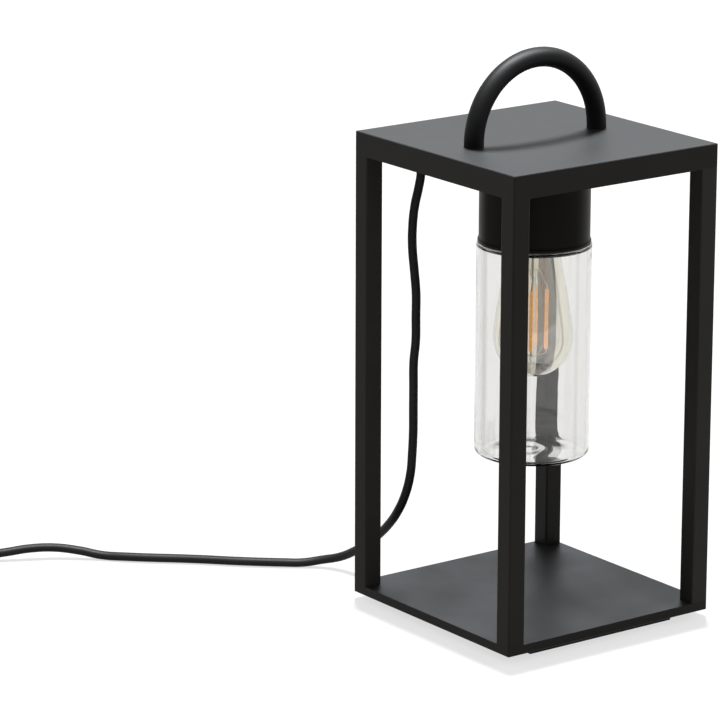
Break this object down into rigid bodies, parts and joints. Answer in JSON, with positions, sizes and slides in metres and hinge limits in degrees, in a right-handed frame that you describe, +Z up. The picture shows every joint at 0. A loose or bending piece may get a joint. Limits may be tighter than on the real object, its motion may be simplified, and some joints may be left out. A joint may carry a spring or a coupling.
{
  "type": "outdoor lantern",
  "caption": "Square open-frame outdoor lantern with a carrying handle, a screw-in glass jar over a filament bulb, and a rubber mains lead with a plug.",
  "frame": {"origin": "on the floor, under the middle of the square frame", "axes": "+Z up, +X along the carrying handle, -Y the front; the lead leaves at the back left"},
  "size_m": [0.484, 0.4412, 0.4085],
  "materials": {
    "frame_black": "matte powder coat",
    "satin_black": "satin",
    "rubber_black": "matte",
    "plastic_black": "matte",
    "jar_glass": "clear",
    "bulb_glass": "clear, pale tint",
    "filament": "coated",
    "steel": "plated",
    "brass": "plain",
    "ceramic": "glazed",
    "insulator": "gloss",
    "core_brown": "matte",
    "core_blue": "matte",
    "core_green": "matte"
  },
  "bodies": {
    "root": {"roof": "frame_black", "roof_liner": "frame_black", "post_front_left": "frame_black", "post_front_right": "frame_black", "post_back_left": "frame_black", "post_back_right": "frame_black", "base": "frame_black", "handle": "satin_black", "holder_cup": "satin_black", "foot_strips": "rubber_black", "cup_gasket": "rubber_black", "gland_seal": "rubber_black", "supply_cable": "rubber_black", "cable_coil": "rubber_black", "plug_boot": "rubber_black", "plug_body": "rubber_black", "lampholder_dome": "plastic_black", "lampholder_skirt": "plastic_black", "gland_body": "plastic_black", "gland_nut": "plastic_black", "gland_locknut": "plastic_black", "cable_tie": "plastic_black", "post_plugs": "steel", "tie_rods": "steel", "liner_screws": "steel", "foot_screws": "steel", "handle_screws": "steel", "handle_washers": "steel", "holder_nipple": "steel", "nipple_washer": "steel", "nipple_nut": "steel", "terminal_screws": "steel", "earth_lug": "steel", "plug_pins": "steel", "plug_earth_clips": "steel", "lampholder_shell": "brass", "centre_contact": "brass", "terminals": "brass", "earth_screw": "brass", "lampholder_insert": "ceramic", "core_live": "core_brown", "core_neutral": "core_blue", "core_earth": "core_green"},
    "jar_seal": {"jar_seal": "rubber_black"},
    "jar": {"glass_jar": "jar_glass"},
    "bulb_tip": {"bulb_insulator": "insulator", "bulb_contact": "brass"},
    "bulb": {"bulb_cap": "steel", "bulb_leads": "steel", "bulb_envelope": "bulb_glass", "bulb_stem": "bulb_glass", "bulb_filaments": "filament"}
  },
  "joints": [
    {"name": "jar_drop", "type": "slide", "parent": "root", "child": "jar_seal", "axis": [0, 0, -1], "range_m": [0, 0.01]},
    {"name": "jar_turn", "type": "hinge", "parent": "jar_seal", "child": "jar", "pos_m": [0, 0, 0.27], "axis": [0, 0, -1], "range_deg": [0, 900.1]},
    {"name": "bulb_drop", "type": "slide", "parent": "root", "child": "bulb_tip", "axis": [0, 0, -1], "range_m": [0, 0.01815]},
    {"name": "bulb_turn", "type": "hinge", "parent": "bulb_tip", "child": "bulb", "pos_m": [0, 0, 0.3], "axis": [0, 0, -1], "range_deg": [0, 1800.1]}
  ],
  "couplings": [
    {"joint": "jar_turn", "follows": "jar_drop", "rad_per_m": 1570.8},
    {"joint": "bulb_turn", "follows": "bulb_drop", "rad_per_m": 1730.9}
  ]
}
